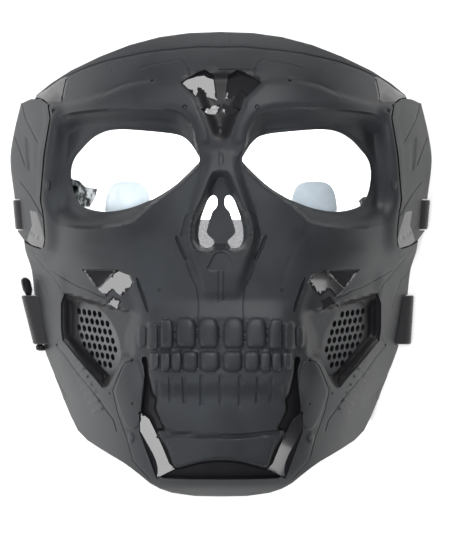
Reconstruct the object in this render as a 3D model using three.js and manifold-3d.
// Skull mask lying face up on its rear rim. X runs across the face, +Y to the top of the forehead, +Z out of it.
// Lengths are in millimetres. Left is -X.
import * as THREE from "three";
import { mergeVertices } from "three/addons/utils/BufferGeometryUtils.js";
import Module from "manifold-3d";

const wasm = await Module();
wasm.setup();

// Overall sizes of the moulding
const HALF_WIDTH = 108; // centre line to the outside of a temple plate
const HEIGHT = 236.6; // chin to the top of the forehead
const DEPTH = 111; // rear rim to the front of the face, before relief
const FULLNESS = 3; // power of the curve across the face

// Walls and clearances
const WALL = 2.4; // moulded wall
const CLEAR = 0.3; // between neighbouring pieces
const PLATE_WALL = 2.8; // temple plate
const LENS_WALL = 2;
const LENS_LAP = 3.5; // the lens reaches this far behind its opening
const CLIP_WALL = 2; // tab behind the lens
const GRILLE_WALL = 1.8;
const GRILLE_LAP = 3;
const SKIRT_WALL = 2; // collar from an opening's edge down to its lens or grille

// Relief of the face
const SOCKET_DEPTH = 15;
const SOCKET_RAMP = 9; // width of a socket's sloping side
const BROW_DROP = 4.5; // upright step under the brow
const BROW_RAISE = 3.2; // brow plate over the forehead
const BAND_RAISE = 1.5; // rim band round the forehead
const VALLEY_DEPTH = 4;
const NOSE_RAISE = 5;
const NOSE_DEPTH = 9;
const CHEEK_RAISE = 4;
const HOLLOW_LIFT = 3.6; // floor of the cheek hollow above the seat of its grille
const HOLLOW_RAMP = 6;
const GROOVE_DEPTH = 4; // narrow slot beside each nostril's fold
const MUZZLE_RAISE = 5;
const MOUTH_DEPTH = 2.6; // bed of the teeth
const TOOTH_RAISE = 4.6; // a tooth over its bed
const TOOTH_GAP = 0.5;
const CHANNEL_DEPTH = 7; // polished channel round the chin
const JAW_RAISE = 2.6;
const CHIN_RAISE = 1.6;

// Perforation of a grille
const HOLE_RADIUS = 1.35;
const HOLE_PITCH = 4.9; // between holes of a row
const ROW_PITCH = 4.15; // between rows
const HOLE_MARGIN = 1.2; // web left between a hole and the window's edge

// Straps of woven elastic, threaded round a bar of the rim
const STRAP_THICK = 1.9;
const BAR_HEIGHT = 3; // bar of the rim between strap slot and floor passage
const TAIL_LENGTH = 14; // sewn end behind the rim
const UPPER_SLACK = 10; // how far the upper strap's run sags towards the chin
const LOWER_SLACK = 2;
const UPPER_WIDTH = 15;
const LOWER_WIDTH = 25;
const UPPER_REACH_LEFT = 4.1; // how far a fold stands out of the rim
const UPPER_REACH_RIGHT = 4.6;
const LOWER_REACH_LEFT = 6.9;
const LOWER_REACH_RIGHT = 4.3;
const PIN_RADIUS = 1.4; // keeper in the fold of the lower strap
const KNOB_RADIUS = 2.5;
const KNOB_LENGTH = 9;

// Sections of the face from the chin up: v is the height, half the width and crown the depth, all shares.
const SECTIONS = [
  { v: -0.02, half: 0.64, crown: 0.6 },
  { v: 0, half: 0.648, crown: 0.685 },
  { v: 0.024, half: 0.667, crown: 0.811 },
  { v: 0.056, half: 0.685, crown: 0.901 },
  { v: 0.121, half: 0.713, crown: 0.946 },
  { v: 0.203, half: 0.746, crown: 0.98 },
  { v: 0.272, half: 0.803, crown: 0.998 },
  { v: 0.334, half: 0.85, crown: 0.998 },
  { v: 0.422, half: 0.883, crown: 0.991 },
  { v: 0.487, half: 0.9, crown: 0.982 },
  { v: 0.53, half: 0.928, crown: 0.973 },
  { v: 0.569, half: 0.937, crown: 0.965 },
  { v: 0.638, half: 0.951, crown: 0.955 },
  { v: 0.724, half: 0.972, crown: 0.934 },
  { v: 0.778, half: 0.958, crown: 0.92 },
  { v: 0.853, half: 0.92, crown: 0.874 },
  { v: 0.918, half: 0.889, crown: 0.775 },
  { v: 0.968, half: 0.872, crown: 0.649 },
  { v: 1, half: 0.86, crown: 0.541 },
  { v: 1.02, half: 0.855, crown: 0.46 },
];

// Outlines as seen from the front, [share of the half width, share of the height], from one side of the face.
const OUTLINE = [
  [0, 1], [0.146, 0.998], [0.288, 0.989], [0.429, 0.972], [0.571, 0.947], [0.712, 0.917], [0.807, 0.89],
  [0.873, 0.866], [0.89, 0.851], [1.06, 0.851], [1.06, 0.26], [0.78, 0.225], [0.745, 0.205], [0.712, 0.17],
  [0.679, 0.14], [0.632, 0.119], [0.571, 0.102], [0.514, 0.087], [0.467, 0.075], [0.425, 0.062],
  [0.377, 0.045], [0.335, 0.029], [0.288, 0.017], [0.231, 0.008], [0.123, 0.001], [0, 0],
];
const BAND_EDGE = [
  [0, 0.965], [0.099, 0.966], [0.288, 0.959], [0.429, 0.948], [0.524, 0.939], [0.618, 0.926], [0.712, 0.908],
  [0.759, 0.9], [0.873, 0.866], [1, 1.05], [0, 1.05],
];
const VALLEY = [
  [0, 0.918], [0.08, 0.918], [0.146, 0.912], [0.203, 0.899], [0.151, 0.873], [0.113, 0.858], [0.099, 0.836],
  [0.075, 0.815], [0.038, 0.767], [0, 0.763],
];
const BROW = [
  [0.203, 0.899], [0.335, 0.897], [0.453, 0.888], [0.524, 0.875], [0.618, 0.86], [0.755, 0.848], [0.825, 0.851],
  [0.849, 0.845], [0.811, 0.815], [0.759, 0.821], [0.703, 0.828], [0.571, 0.834], [0.429, 0.837],
  [0.335, 0.838], [0.25, 0.835], [0.189, 0.828], [0.151, 0.812], [0.123, 0.787], [0.113, 0.754],
  [0.057, 0.754], [0.042, 0.769], [0.075, 0.815], [0.099, 0.836], [0.113, 0.858], [0.151, 0.873],
];
const SOCKET = [
  [0.811, 0.815], [0.759, 0.821], [0.703, 0.828], [0.571, 0.834], [0.429, 0.837], [0.335, 0.838],
  [0.25, 0.835], [0.189, 0.828], [0.151, 0.812], [0.123, 0.787], [0.113, 0.754], [0.094, 0.724],
  [0.118, 0.703], [0.165, 0.681], [0.212, 0.662], [0.288, 0.638], [0.358, 0.614], [0.406, 0.591],
  [0.453, 0.584], [0.524, 0.579], [0.618, 0.575], [0.712, 0.577], [0.774, 0.582], [0.811, 0.595],
  [0.84, 0.616], [0.851, 0.642], [0.854, 0.67], [0.849, 0.703], [0.84, 0.741], [0.825, 0.778],
];
const EYE = [
  [0.731, 0.69], [0.726, 0.716], [0.708, 0.733], [0.665, 0.749], [0.618, 0.767], [0.571, 0.781], [0.524, 0.788],
  [0.467, 0.79], [0.382, 0.787], [0.288, 0.783], [0.217, 0.779], [0.175, 0.773], [0.142, 0.759],
  [0.118, 0.741], [0.094, 0.723], [0.123, 0.709], [0.17, 0.688], [0.217, 0.668], [0.288, 0.647],
  [0.335, 0.636], [0.406, 0.623], [0.476, 0.615], [0.538, 0.612], [0.599, 0.615], [0.656, 0.624],
  [0.693, 0.636], [0.722, 0.655],
];
const LENS_CLIP = [
  [0.547, 0.602], [0.542, 0.638], [0.528, 0.662], [0.5, 0.675], [0.458, 0.678], [0.382, 0.677], [0.349, 0.666],
  [0.335, 0.649], [0.325, 0.621],
];
const TEMPLE = [
  [0.821, 0.845], [0.811, 0.815], [0.825, 0.778], [0.84, 0.735], [0.854, 0.659], [0.858, 0.638],
  [0.844, 0.606], [0.835, 0.552], [0.844, 0.534], [0.896, 0.541], [0.934, 0.552], [0.962, 0.569],
  [1.066, 0.582], [1.066, 0.847], [0.943, 0.849], [0.901, 0.857], [0.854, 0.857],
];
const NOSE_BONE = [
  [0, 0.754], [0.071, 0.752], [0.09, 0.733], [0.099, 0.707], [0.123, 0.672], [0.151, 0.636], [0.175, 0.601],
  [0.189, 0.556], [0.165, 0.513], [0.113, 0.448], [0.104, 0.422], [0, 0.422],
];
const NOSE_CAVITY = [
  [0, 0.703], [0.038, 0.7], [0.057, 0.685], [0.08, 0.657], [0.104, 0.631], [0.132, 0.608], [0.149, 0.582],
  [0.151, 0.558], [0.142, 0.539], [0.118, 0.526], [0.075, 0.519], [0.033, 0.524], [0, 0.528],
];
const NOSE_SLOT = [
  [0.042, 0.647], [0.028, 0.647], [0.017, 0.64], [0.017, 0.627], [0.024, 0.62], [0.042, 0.612], [0.05, 0.599],
  [0.061, 0.582], [0.068, 0.571], [0.066, 0.565], [0.047, 0.556], [0.031, 0.55], [0.033, 0.543],
  [0.047, 0.537], [0.071, 0.534], [0.094, 0.539], [0.104, 0.55], [0.106, 0.565], [0.101, 0.584],
  [0.09, 0.603], [0.075, 0.621], [0.061, 0.638],
];
const HOLLOW = [
  [0.778, 0.483], [0.731, 0.494], [0.571, 0.496], [0.509, 0.494], [0.458, 0.486], [0.415, 0.47], [0.382, 0.442],
  [0.354, 0.401], [0.377, 0.366], [0.401, 0.341], [0.396, 0.31], [0.41, 0.297], [0.453, 0.289],
  [0.476, 0.269], [0.509, 0.239], [0.547, 0.226], [0.594, 0.25], [0.665, 0.289], [0.731, 0.328],
  [0.759, 0.341], [0.759, 0.444],
];
const WINDOW = [
  [0.679, 0.422], [0.627, 0.416], [0.575, 0.406], [0.538, 0.39], [0.509, 0.369], [0.486, 0.345],
  [0.474, 0.319], [0.469, 0.3], [0.491, 0.274], [0.512, 0.254], [0.552, 0.272], [0.599, 0.296],
  [0.646, 0.321], [0.682, 0.343],
];
const GROOVE = [
  [0.404, 0.469], [0.388, 0.471], [0.334, 0.398], [0.35, 0.395],
];
const MOUTH = [
  [0, 0.388], [0.104, 0.388], [0.203, 0.386], [0.274, 0.381], [0.335, 0.371], [0.387, 0.362], [0.387, 0.312],
  [0.349, 0.302], [0.344, 0.269], [0.288, 0.263], [0.193, 0.263], [0.099, 0.265], [0, 0.263],
];
const CHANNEL = [
  [0, 0.038], [0.123, 0.038], [0.217, 0.039], [0.288, 0.041], [0.307, 0.06], [0.335, 0.088], [0.363, 0.121],
  [0.377, 0.155], [0.375, 0.185], [0.37, 0.211], [0.363, 0.237], [0.358, 0.272], [0.377, 0.3],
  [0.342, 0.302], [0.34, 0.267], [0.325, 0.244], [0.318, 0.224], [0.297, 0.211], [0.307, 0.19],
  [0.283, 0.168], [0.255, 0.144], [0.302, 0.142], [0.274, 0.121], [0.241, 0.095], [0.226, 0.073],
  [0.208, 0.062], [0.146, 0.07], [0.075, 0.078], [0, 0.08],
];
const JAW_PLATE = [
  [0.415, 0.293], [0.439, 0.291], [0.458, 0.284], [0.476, 0.263], [0.505, 0.228], [0.495, 0.211],
  [0.476, 0.181], [0.443, 0.147], [0.41, 0.142], [0.382, 0.155], [0.375, 0.185], [0.368, 0.216],
  [0.363, 0.246], [0.377, 0.276], [0.396, 0.297],
];
const CHIN_PLATE = [
  [0, 0.084], [0.052, 0.082], [0.123, 0.074], [0.203, 0.065], [0.226, 0.065], [0.236, 0.088], [0.25, 0.11],
  [0.274, 0.133], [0.075, 0.127], [0, 0.127],
];

// Teeth of one side: u and v are the middle, half and tall the half width and half height, as shares.
const TEETH = [
  { u: 0.059, v: 0.352, half: 0.046, tall: 0.0315 },
  { u: 0.158, v: 0.351, half: 0.042, tall: 0.031 },
  { u: 0.238, v: 0.346, half: 0.028, tall: 0.032 },
  { u: 0.309, v: 0.338, half: 0.023, tall: 0.029 },
  { u: 0.361, v: 0.336, half: 0.022, tall: 0.023 },
  { u: 0.054, v: 0.292, half: 0.042, tall: 0.0235 },
  { u: 0.139, v: 0.292, half: 0.038, tall: 0.0225 },
  { u: 0.212, v: 0.289, half: 0.026, tall: 0.0225 },
  { u: 0.267, v: 0.288, half: 0.022, tall: 0.0215 },
  { u: 0.316, v: 0.29, half: 0.023, tall: 0.017 },
];

// Seat of a grille: a plane through the point u, v, z, falling outwards and rising to the forehead, as shares.
const SEAT = { u: 0.574, v: 0.36, z: 0.5, fall: 1.508, rise: 0.5755 };

// Straps: v is the middle's height as a share, left and right are the reaches of the folds.
const RUN_SHARE = 0.87; // the run is straight outside this share of the rim's half width
const FLAT_SHARE = 0.5; // and has its whole sag inside this one
const STRAPS = [
  {
    name: "strap_upper",
    v: 0.607,
    width: UPPER_WIDTH,
    left: UPPER_REACH_LEFT,
    right: UPPER_REACH_RIGHT,
    slack: UPPER_SLACK,
    skew: 0.09,
  },
  {
    name: "strap_lower",
    v: 0.379,
    width: LOWER_WIDTH,
    left: LOWER_REACH_LEFT,
    right: LOWER_REACH_RIGHT,
    slack: LOWER_SLACK,
    skew: 0.19,
  },
];

// Shapes of the surfaces

const step = (from, to, t) => THREE.MathUtils.smoothstep(t, from, to);
const heightShare = (y) => y / HEIGHT + 0.5;

// A column of the sections at a height, on a smooth curve through the rows.
function along(column, v) {
  const n = SECTIONS.length;
  let i = 1;
  while (i < n - 2 && SECTIONS[i].v < v) i += 1;
  const a = SECTIONS[i - 1];
  const b = SECTIONS[i];
  const t = THREE.MathUtils.clamp((v - a.v) / (b.v - a.v), 0, 1);
  const before = SECTIONS[Math.max(0, i - 2)];
  const after = SECTIONS[Math.min(n - 1, i + 1)];
  const span = b.v - a.v;
  const m0 = (span * (b[column] - before[column])) / (b.v - before.v);
  const m1 = (span * (after[column] - a[column])) / (after.v - a.v);
  const t2 = t * t;
  const t3 = t2 * t;
  return (2 * t3 - 3 * t2 + 1) * a[column] + (t3 - 2 * t2 + t) * m0 + (3 * t2 - 2 * t3) * b[column] + (t3 - t2) * m1;
}

const halfWidth = (y) => HALF_WIDTH * along("half", heightShare(y));

// The plain loaf of the face, grown outwards by a distance.
function loaf(x, y, grow = 0) {
  const v = heightShare(y);
  const w = HALF_WIDTH * along("half", v) + grow;
  return (DEPTH * along("crown", v) + grow) * (1 - Math.abs(x / w) ** FULLNESS);
}

// An outline in millimetres on one side, or closed over the centre line.
const onSide = (outline, side = 1) =>
  outline.map(([u, v]) => new THREE.Vector2(side * u * HALF_WIDTH, (v - 0.5) * HEIGHT));
function acrossFace(outline) {
  const half = onSide(outline);
  const other = half.filter((p) => p.x > 0).reverse();
  return half.concat(other.map((p) => new THREE.Vector2(-p.x, p.y)));
}

// Distance from a point to an outline's edge, positive inside.
function depthInside(points, x, y) {
  let best = Infinity;
  let inside = false;
  for (let i = 0, j = points.length - 1; i < points.length; j = i, i += 1) {
    const a = points[j];
    const b = points[i];
    const ex = b.x - a.x;
    const ey = b.y - a.y;
    const t = THREE.MathUtils.clamp(((x - a.x) * ex + (y - a.y) * ey) / (ex * ex + ey * ey || 1), 0, 1);
    best = Math.min(best, Math.hypot(x - a.x - t * ex, y - a.y - t * ey));
    if (a.y > y !== b.y > y && x < a.x + ((y - a.y) / (b.y - a.y)) * ex) inside = !inside;
  }
  return inside ? best : -best;
}

const socketLine = onSide(SOCKET);
const hollowLine = onSide(HOLLOW);
const valleyLine = acrossFace(VALLEY);
const boneLine = acrossFace(NOSE_BONE);
const cavityLine = acrossFace(NOSE_CAVITY);

const seatPlane = (x, y) =>
  DEPTH * (SEAT.z - SEAT.fall * (Math.abs(x) / HALF_WIDTH - SEAT.u) + SEAT.rise * (heightShare(y) - SEAT.v));

const CHEEK = { u: 0.7, v: 0.533, wide: 0.13, tall: 0.04 };
const MUZZLE = { inner: 0.28, outer: 0.42, low: 0.21, lowEnd: 0.25, high: 0.37, highEnd: 0.43 };
const BONE = { start: 0.754, full: 0.69, hold: 0.5, end: 0.42 };

// The face's outer surface without its stepped plates and beds.
function face(x, y) {
  const ax = Math.abs(x);
  const u = ax / HALF_WIDTH;
  const v = heightShare(y);
  let z = loaf(x, y);
  z += CHEEK_RAISE * Math.exp(-(((u - CHEEK.u) / CHEEK.wide) ** 2) - ((v - CHEEK.v) / CHEEK.tall) ** 2);
  z +=
    MUZZLE_RAISE *
    (1 - step(MUZZLE.inner, MUZZLE.outer, u)) *
    step(MUZZLE.low, MUZZLE.lowEnd, v) *
    (1 - step(MUZZLE.high, MUZZLE.highEnd, v));
  z -= VALLEY_DEPTH * step(0, VALLEY_DEPTH * 1.5, depthInside(valleyLine, x, y));
  const bone = step(0, NOSE_RAISE, depthInside(boneLine, x, y));
  z += NOSE_RAISE * bone * (1 - step(BONE.full, BONE.start, v)) * (0.4 + 0.6 * step(BONE.end, BONE.hold, v));
  z -= NOSE_DEPTH * step(0, NOSE_DEPTH / 2, depthInside(cavityLine, x, y));
  const inSocket = depthInside(socketLine, ax, y);
  z -= BROW_DROP * step(0, BROW_DROP / 3, inSocket) + (SOCKET_DEPTH - BROW_DROP) * step(0, SOCKET_RAMP, inSocket);
  const inHollow = step(0, HOLLOW_RAMP, depthInside(hollowLine, ax, y));
  const floor = seatPlane(x, y) + HOLLOW_LIFT + WALL * Math.hypot(1, SEAT.fall);
  return z + inHollow * Math.min(0, floor - z);
}

// How far the face lies over the plain loaf, with the sunken beds.
const BEDS = [
  { line: acrossFace(MOUTH), drop: MOUTH_DEPTH },
  { line: acrossFace(CHANNEL), drop: CHANNEL_DEPTH },
  { line: onSide(GROOVE), drop: GROOVE_DEPTH },
  { line: onSide(GROOVE, -1), drop: GROOVE_DEPTH },
];
function relief(x, y) {
  let z = face(x, y) - loaf(x, y);
  for (const { line, drop } of BEDS) if (depthInside(line, x, y) > 0) z -= drop;
  return z;
}

// A surface moved inwards by a distance, square to itself.
const RINGS = [0.45, 0.8, 0.97];
const SPOKES = 10;
function inwards(surface, distance) {
  return (x, y) => {
    let z = surface(x, y) - distance;
    for (const ring of RINGS)
      for (let k = 0; k < SPOKES; k += 1) {
        const turn = (2 * Math.PI * k) / SPOKES;
        const reach = distance * ring;
        const drop = Math.sqrt(distance * distance - reach * reach);
        z = Math.min(z, surface(x + reach * Math.cos(turn), y + reach * Math.sin(turn)) - drop);
      }
    return z;
  };
}

// The rear surface of the wall: under the loaf by the wall, and under every relief close by.
const NEARBY = 2.6;
const loafRear = inwards(loaf, WALL);
function rear(x, y) {
  let low = relief(x, y);
  for (const reach of [NEARBY, NEARBY + WALL])
    for (let k = 0; k < SPOKES; k += 1) {
      const turn = (2 * Math.PI * k) / SPOKES;
      low = Math.min(low, relief(x + reach * Math.cos(turn), y + reach * Math.sin(turn)));
    }
  return loafRear(x, y) + Math.min(0, low);
}

// Solids

const SMALLEST = 0.3; // features of the surface finer than this are left out
const EDGE = 4; // how far cutting bodies stand over what they cut

function solid(geometry) {
  const corners = geometry.index ? geometry.toNonIndexed() : geometry;
  const bare = new THREE.BufferGeometry().setAttribute("position", corners.getAttribute("position"));
  const merged = mergeVertices(bare, 1e-4);
  return new wasm.Manifold(
    new wasm.Mesh({
      numProp: 3,
      vertProperties: new Float32Array(merged.getAttribute("position").array),
      triVerts: new Uint32Array(merged.index.array),
    }),
  );
}

// A body under a surface, over a net of points: columns are shares of the half width at each row, or plain x values.
function under(surface, rows, columns, bottom, place) {
  const points = [];
  for (const y of rows) for (const c of columns) points.push([place(c, y), y, surface(place(c, y), y)]);
  for (const y of rows) for (const c of columns) points.push([place(c, y), y, bottom]);
  const n = columns.length;
  const m = rows.length;
  const base = n * m;
  const faces = [];
  const quad = (a, b, c, d) => faces.push([a, b, c], [a, c, d]);
  for (let j = 0; j < m - 1; j += 1)
    for (let i = 0; i < n - 1; i += 1) {
      const a = j * n + i;
      const fold = points[a][2] + points[a + n + 1][2] < points[a + 1][2] + points[a + n][2];
      if (fold) faces.push([a, a + 1, a + n], [a + 1, a + n + 1, a + n]);
      else faces.push([a, a + 1, a + n + 1], [a, a + n + 1, a + n]);
      faces.push([base + a, base + a + n + 1, base + a + 1], [base + a, base + a + n, base + a + n + 1]);
    }
  for (let i = 0; i < n - 1; i += 1) {
    quad(base + i, base + i + 1, i + 1, i);
    const t = (m - 1) * n + i;
    quad(t, t + 1, base + t + 1, base + t);
  }
  for (let j = 0; j < m - 1; j += 1) {
    const l = j * n;
    const r = j * n + n - 1;
    quad(l, l + n, base + l + n, base + l);
    quad(base + r, base + r + n, r + n, r);
  }
  return new wasm.Manifold(
    new wasm.Mesh({
      numProp: 3,
      vertProperties: new Float32Array(points.flat()),
      triVerts: new Uint32Array(faces.flat()),
    }),
  );
}

// Columns across the face, closer together towards the steep sides.
function across(count) {
  const out = [];
  for (let i = -count; i <= count; i += 1) {
    const t = Math.abs(i) / count;
    out.push(Math.sign(i) * (1 - (1 - t) ** 1.45 * (1 - 0.12 * t)));
  }
  return out;
}
const spread = (from, to, count) => Array.from({ length: count + 1 }, (_, i) => from + ((to - from) * i) / count);

const LOW = -6; // bodies start this far under the resting plane
const faceRows = (count) => spread(-0.515 * HEIGHT, 0.515 * HEIGHT, count);
const wholeFace = (surface, rows, columns, grow = 0) =>
  under(surface, faceRows(rows), across(columns), LOW, (c, y) => c * (halfWidth(y) + grow));

function prism(points, bottom = LOW - EDGE, top = 2 * DEPTH) {
  const g = new THREE.ExtrudeGeometry(new THREE.Shape(points), { depth: top - bottom, bevelEnabled: false });
  g.translate(0, 0, bottom);
  return solid(g);
}

function block(x0, x1, y0, y1, z0, z1) {
  const g = new THREE.BoxGeometry(x1 - x0, y1 - y0, z1 - z0);
  g.translate((x0 + x1) / 2, (y0 + y1) / 2, (z0 + z1) / 2);
  return solid(g);
}

// An outline moved outwards by a distance.
function grown(points, distance) {
  const turn = Math.sign(THREE.ShapeUtils.area(points));
  const n = points.length;
  return points.map((p, i) => {
    const before = p.clone().sub(points[(i + n - 1) % n]).normalize();
    const after = points[(i + 1) % n].clone().sub(p).normalize();
    const a = new THREE.Vector2(before.y, -before.x);
    const b = new THREE.Vector2(after.y, -after.x);
    const mid = a.clone().add(b).normalize();
    const stretch = Math.min(1.6, 1 / Math.max(0.2, mid.dot(a)));
    return p.clone().addScaledVector(mid, turn * distance * stretch);
  });
}

const join = (list) => wasm.Manifold.union(list);

// The moulding's body and the tools that shape it
const ROWS = 34;
const COLUMNS = 16;
const REAR_ROWS = 24;
const REAR_COLUMNS = 11;
const outer = wholeFace(face, ROWS, COLUMNS);
const inner = under(rear, faceRows(REAR_ROWS), across(REAR_COLUMNS), LOW - EDGE, (c, y) => c * (halfWidth(y) - WALL));
const collarTop = inner.translate([0, 0, WALL / 2]);
const aboveFloor = block(-2 * HALF_WIDTH, 2 * HALF_WIDTH, -HEIGHT, HEIGHT, 0, 2 * DEPTH);

const SIDES = [
  { word: "left", sign: -1 },
  { word: "right", sign: 1 },
];

// A patch of the face raised over it, or cut into it, with upright sides.
const raised = (points, lift) => outer.translate([0, 0, lift]).intersect(prism(points));
const sunk = (points, drop) => prism(points, LOW).subtract(outer.translate([0, 0, -drop]));

function tooth({ u, v, half, tall }, side) {
  const x = side * u * HALF_WIDTH;
  const y = (v - 0.5) * HEIGHT;
  const g = new THREE.SphereGeometry(1, 8, 6);
  const at = g.getAttribute("position");
  const square = (t) => Math.sign(t) * Math.abs(t) ** 0.55;
  const reach = half * HALF_WIDTH * 0.4;
  const slope = (face(x + reach, y) - face(x - reach, y)) / (2 * reach);
  for (let i = 0; i < at.count; i += 1) {
    const px = square(at.getX(i)) * (half * HALF_WIDTH - TOOTH_GAP / 2);
    const py = square(at.getY(i)) * (tall * HEIGHT - TOOTH_GAP / 2);
    at.setXYZ(i, x + px, y + py, face(x, y) - MOUTH_DEPTH + slope * px + square(at.getZ(i)) * TOOTH_RAISE);
  }
  return solid(g);
}

// Lens, tab and grille of one side, and the seats that they need in the moulding
const eyeFloor = (x, y) => loaf(x, y) - SOCKET_DEPTH;
function patch(surface, points, bottom, cell) {
  const box = new THREE.Box2().setFromPoints(points).expandByScalar(EDGE);
  const size = box.getSize(new THREE.Vector2());
  const xs = spread(box.min.x, box.max.x, Math.ceil(size.x / cell));
  const ys = spread(box.min.y, box.max.y, Math.ceil(size.y / cell));
  return under(surface, ys, xs, bottom, (c) => c);
}
const PATCH_CELL = 10;
const DEEP = -1.5 * DEPTH;

function eyeParts(side) {
  const opening = onSide(EYE, side);
  const lensLine = grown(opening, LENS_LAP);
  const area = grown(opening, LENS_LAP + CLEAR);
  const layer = (distance) => patch(inwards(eyeFloor, distance), area, DEEP, PATCH_CELL);
  const seat = layer(WALL);
  const top = layer(WALL + CLEAR);
  const rear = layer(WALL + CLEAR + LENS_WALL);
  const clipTop = layer(WALL + LENS_WALL + 2 * CLEAR);
  const clipRear = layer(WALL + LENS_WALL + 2 * CLEAR + CLIP_WALL);
  return {
    opening,
    seat: seat.intersect(prism(area, DEEP)),
    lens: top.subtract(rear).intersect(prism(lensLine)),
    clip: clipTop.subtract(clipRear).intersect(prism(onSide(LENS_CLIP, side))),
    collar: prism(grown(opening, SKIRT_WALL)).intersect(collarTop).subtract(layer(WALL)),
  };
}

// A flat perforated plate: built lying flat, then turned into the seat's plane.
function grilleParts(side) {
  const opening = onSide(WINDOW, side);
  const edge = grown(opening, GRILLE_LAP);
  const over = Math.hypot(1, SEAT.fall * (DEPTH / HALF_WIDTH));
  const plane = (drop) => (x, y) => seatPlane(x, y) - drop * over;
  const layer = (drop) => patch(plane(drop), grown(opening, GRILLE_LAP + CLEAR), DEEP, 4 * HEIGHT);
  const plate = layer(CLEAR).subtract(layer(CLEAR + GRILLE_WALL)).intersect(prism(edge, DEEP));
  const holes = [];
  const lean = Math.atan(SEAT.fall * (DEPTH / HALF_WIDTH));
  const middle = new THREE.Box2().setFromPoints(opening).getCenter(new THREE.Vector2());
  const reach = HEIGHT / 4;
  const keep = HOLE_MARGIN + HOLE_RADIUS;
  for (let row = Math.ceil(-reach / ROW_PITCH); row * ROW_PITCH < reach; row += 1)
    for (let k = Math.ceil(-reach / HOLE_PITCH); k * HOLE_PITCH < reach; k += 1) {
      const along = (k + (row % 2 ? 0.5 : 0)) * HOLE_PITCH;
      const x = middle.x + side * along * Math.cos(lean);
      const y = middle.y + row * ROW_PITCH + 0.15 * along * Math.cos(lean);
      if (depthInside(opening, x, y) < keep * 0.62) continue;
      const g = new THREE.CylinderGeometry(HOLE_RADIUS, HOLE_RADIUS, 8 * GRILLE_WALL, 6);
      g.rotateX(Math.PI / 2);
      g.rotateY(side * lean);
      g.translate(x, y, seatPlane(x, y) - (CLEAR + GRILLE_WALL / 2) * over);
      holes.push(solid(g));
    }
  return {
    opening,
    holes,
    grille: plate.subtract(join(holes)),
    seat: layer(0).intersect(prism(grown(opening, GRILLE_LAP + CLEAR), DEEP)),
    collar: prism(grown(opening, SKIRT_WALL)).intersect(collarTop).subtract(layer(0)),
  };
}

// A strap's middle line in the plane across the face: sewn end, fold round the rim's bar, run along the floor, and back.
const layerHigh = STRAP_THICK + BAR_HEIGHT + 2 * CLEAR + STRAP_THICK / 2;
const foldRadius = (layerHigh - STRAP_THICK / 2) / 2;
const FOLD_STEPS = 8;
const RUN_STEPS = 14;
function ribbonPath({ v, left, right }) {
  const wall = halfWidth((v - 0.5) * HEIGHT);
  const end = (sign, reach) => {
    const fold = wall + reach - foldRadius - STRAP_THICK / 2;
    const half = [new THREE.Vector2(sign * (wall - TAIL_LENGTH), layerHigh)];
    for (const t of spread(0, 1, FOLD_STEPS)) {
      const turn = Math.PI * (0.5 - t);
      const z = (layerHigh + STRAP_THICK / 2) / 2 + foldRadius * Math.sin(turn);
      half.push(new THREE.Vector2(sign * (fold + foldRadius * Math.cos(turn)), z));
    }
    return half;
  };
  const run = spread(-RUN_SHARE * wall, RUN_SHARE * wall, RUN_STEPS).map((x) => new THREE.Vector2(x, STRAP_THICK / 2));
  return [...end(-1, left), ...run, ...end(1, right).reverse()];
}

// How far a slack strap's run sags down the face from its ends
function slackAt(x, { v, slack }) {
  const wall = halfWidth((v - 0.5) * HEIGHT);
  return slack * step(0, 1, (RUN_SHARE - Math.abs(x) / wall) / (RUN_SHARE - FLAT_SHARE));
}

function strap(row) {
  const path = ribbonPath(row);
  const y0 = (row.v - 0.5) * HEIGHT;
  const points = [];
  path.forEach((p, i) => {
    const a = path[Math.max(0, i - 1)];
    const b = path[Math.min(path.length - 1, i + 1)];
    const along = b.clone().sub(a).normalize();
    const onRun = p.y < STRAP_THICK / 2 + CLEAR / 2;
    for (const [dy, offset] of [[-1, -1], [1, -1], [1, 1], [-1, 1]]) {
      const reach = (dy * row.width) / 2;
      const x = p.x - (along.y * offset * STRAP_THICK) / 2 + row.skew * reach * Math.sign(p.x);
      const z = p.y + (along.x * offset * STRAP_THICK) / 2;
      points.push(new THREE.Vector3(x, y0 + reach - (onRun ? slackAt(p.x, row) : 0), onRun ? Math.max(0, z) : z));
    }
  });
  const order = [];
  const quad = (a, b, c, d) => order.push(a, b, c, a, c, d);
  for (let i = 0; i < path.length - 1; i += 1)
    for (let k = 0; k < 4; k += 1) {
      const a = 4 * i + k;
      const b = 4 * i + ((k + 1) % 4);
      quad(a, b, b + 4, a + 4);
    }
  const last = points.length - 4;
  quad(3, 2, 1, 0);
  quad(last, last + 1, last + 2, last + 3);
  const g = new THREE.BufferGeometry().setFromPoints(points);
  g.setIndex(order);
  const made = solid(g);
  return made.volume() < 0 ? solid(turnedOver(g)) : made;
}
function turnedOver(g) {
  const at = (g.index ? g.toNonIndexed() : g).getAttribute("position").clone();
  for (let i = 0; i < at.count; i += 3)
    for (const get of ["X", "Y", "Z"]) {
      const kept = at["get" + get](i);
      at["set" + get](i, at["get" + get](i + 1));
      at["set" + get](i + 1, kept);
    }
  return new THREE.BufferGeometry().setAttribute("position", at);
}

// Slot and floor passage of a strap through the rim, both sides.
function strapCuts({ v, width, skew }) {
  const y0 = (v - 0.5) * HEIGHT;
  const wall = halfWidth(y0);
  const reach = width / 2 + CLEAR;
  const slack = WALL + skew * width;
  const cuts = [];
  for (const { sign } of SIDES) {
    const x = [sign * (wall - slack * 2.5), sign * (wall + slack)].sort((a, b) => a - b);
    cuts.push(block(x[0], x[1], y0 - reach, y0 + reach, LOW, STRAP_THICK + CLEAR));
    const low = layerHigh - STRAP_THICK / 2 - CLEAR;
    cuts.push(block(x[0], x[1], y0 - reach, y0 + reach, low, low + STRAP_THICK + 2 * CLEAR));
  }
  return join(cuts);
}

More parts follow.
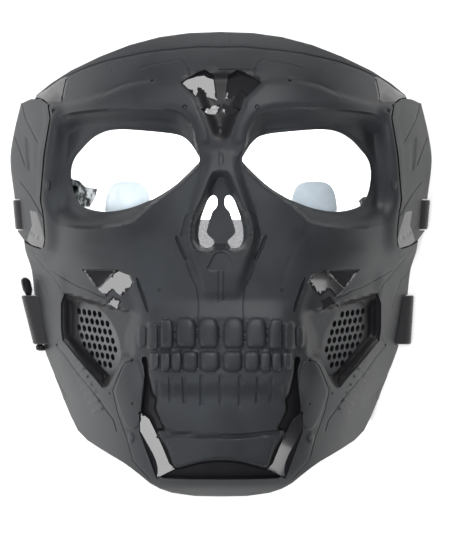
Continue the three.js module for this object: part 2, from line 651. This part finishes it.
// Notch of a temple plate over a strap's folds
function strapNotch({ v, width }) {
  const y0 = (v - 0.5) * HEIGHT;
  const reach = width / 2 + 2 * CLEAR;
  return block(-2 * HALF_WIDTH, 2 * HALF_WIDTH, y0 - reach, y0 + reach, LOW, layerHigh + STRAP_THICK);
}

// Round-ended bar in the left fold of the lower strap
function keeper(row) {
  const y0 = (row.v - 0.5) * HEIGHT;
  const x = halfWidth(y0) + row.left - foldRadius - STRAP_THICK / 2;
  const half = row.width / 2 + CLEAR;
  const profile = [
    [0.01, -half - KNOB_LENGTH],
    [KNOB_RADIUS * 0.7, -half - KNOB_LENGTH * 0.93],
    [KNOB_RADIUS, -half - KNOB_LENGTH * 0.7],
    [KNOB_RADIUS, -half - KNOB_LENGTH * 0.3],
    [PIN_RADIUS, -half],
    [PIN_RADIUS, half],
    [KNOB_RADIUS, half + KNOB_LENGTH * 0.3],
    [KNOB_RADIUS, half + KNOB_LENGTH * 0.7],
    [KNOB_RADIUS * 0.7, half + KNOB_LENGTH * 0.93],
    [0.01, half + KNOB_LENGTH],
  ].map(([r, y]) => new THREE.Vector2(r, y));
  profile[0].x = 0;
  profile[profile.length - 1].x = 0;
  const g = new THREE.LatheGeometry(profile, 12);
  const at = g.getAttribute("position");
  for (let i = 0; i < at.count; i += 1) {
    const y = at.getY(i);
    at.setXYZ(i, -x - row.skew * y + at.getX(i), y0 + y, (layerHigh + STRAP_THICK / 2) / 2 + at.getZ(i));
  }
  const plain = solid(g);
  return plain.volume() < 0 ? solid(turnedOver(g)) : plain;
}

// The whole object

const eyes = SIDES.map(({ sign }) => eyeParts(sign));
const windows = SIDES.map(({ sign }) => grilleParts(sign));
const cuts = join(STRAPS.map(strapCuts));

const templeZones = SIDES.map(({ sign }) => onSide(TEMPLE, sign));
const templeZone = join(templeZones.map((points) => prism(grown(points, CLEAR))));

function shell() {
  const plates = [raised(acrossFace(BAND_EDGE), BAND_RAISE), raised(acrossFace(CHIN_PLATE), CHIN_RAISE)];
  for (const { sign } of SIDES) {
    plates.push(raised(onSide(BROW, sign), BROW_RAISE));
    plates.push(raised(onSide(JAW_PLATE, sign), JAW_RAISE));
  }
  const plain = wholeFace(loaf, ROWS, COLUMNS);
  let body = outer.add(join(plates)).subtract(templeZone.subtract(plain));
  for (const { line, drop } of BEDS) body = body.subtract(sunk(line, drop));
  body = body.add(join(TEETH.flatMap((row) => SIDES.map(({ sign }) => tooth(row, sign)))));
  body = body.subtract(inner);
  body = body.add(join([...eyes, ...windows].map((p) => p.collar)));
  body = body.subtract(join([...eyes, ...windows].map((p) => p.seat)));
  body = body.subtract(join([...eyes, ...windows].map((p) => prism(p.opening))));
  body = body.subtract(join(SIDES.map(({ sign }) => prism(onSide(NOSE_SLOT, sign)))));
  body = body.intersect(prism(acrossFace(OUTLINE))).intersect(aboveFloor).subtract(cuts);
  return body.simplify(SMALLEST);
}

function temple(points) {
  const rows = spread(0.02 * HEIGHT, 0.37 * HEIGHT, 14);
  const layer = (grow, bottom) =>
    under((x, y) => loaf(x, y, grow), rows, across(COLUMNS), bottom, (c, y) => c * (halfWidth(y) + grow));
  return layer(CLEAR + PLATE_WALL, LOW)
    .subtract(layer(CLEAR, LOW - EDGE))
    .intersect(prism(points))
    .intersect(aboveFloor)
    .subtract(join(STRAPS.map(strapNotch)));
}

const PLASTIC = { color: 0x2b2d2e, roughness: 0.55, metalness: 0 };
const GLOSS = { color: 0x141516, roughness: 0.15, metalness: 0 };
const CLEAR_LENS = { color: 0xcfd6da, roughness: 0.05, metalness: 0, transparent: true, opacity: 0.35 };
const WEBBING = { color: 0x232324, roughness: 0.95, metalness: 0 };

const root = new THREE.Group();
root.name = "skull_mask";
function show(name, made, look) {
  const bodies = made.decompose();
  const main = bodies.reduce((a, b) => (b.volume() > a.volume() ? b : a));
  const m = main.getMesh();
  const g = new THREE.BufferGeometry();
  g.setAttribute("position", new THREE.BufferAttribute(new Float32Array(m.vertProperties), 3));
  g.setIndex(new THREE.BufferAttribute(new Uint32Array(m.triVerts), 1));
  g.computeVertexNormals();
  const mesh = new THREE.Mesh(g, new THREE.MeshStandardMaterial(look));
  mesh.name = name;
  root.add(mesh);
}

show("face_shell", shell(), PLASTIC);
SIDES.forEach(({ word }, i) => {
  show(`temple_plate_${word}`, temple(templeZones[i]), PLASTIC);
  show(`cheek_grille_${word}`, windows[i].grille, PLASTIC);
  show(`lens_${word}`, eyes[i].lens, CLEAR_LENS);
  show(`lens_clip_${word}`, eyes[i].clip, GLOSS);
});
for (const row of STRAPS) show(row.name, strap(row), WEBBING);
show("strap_keeper", keeper(STRAPS[1]), GLOSS);

export default root;
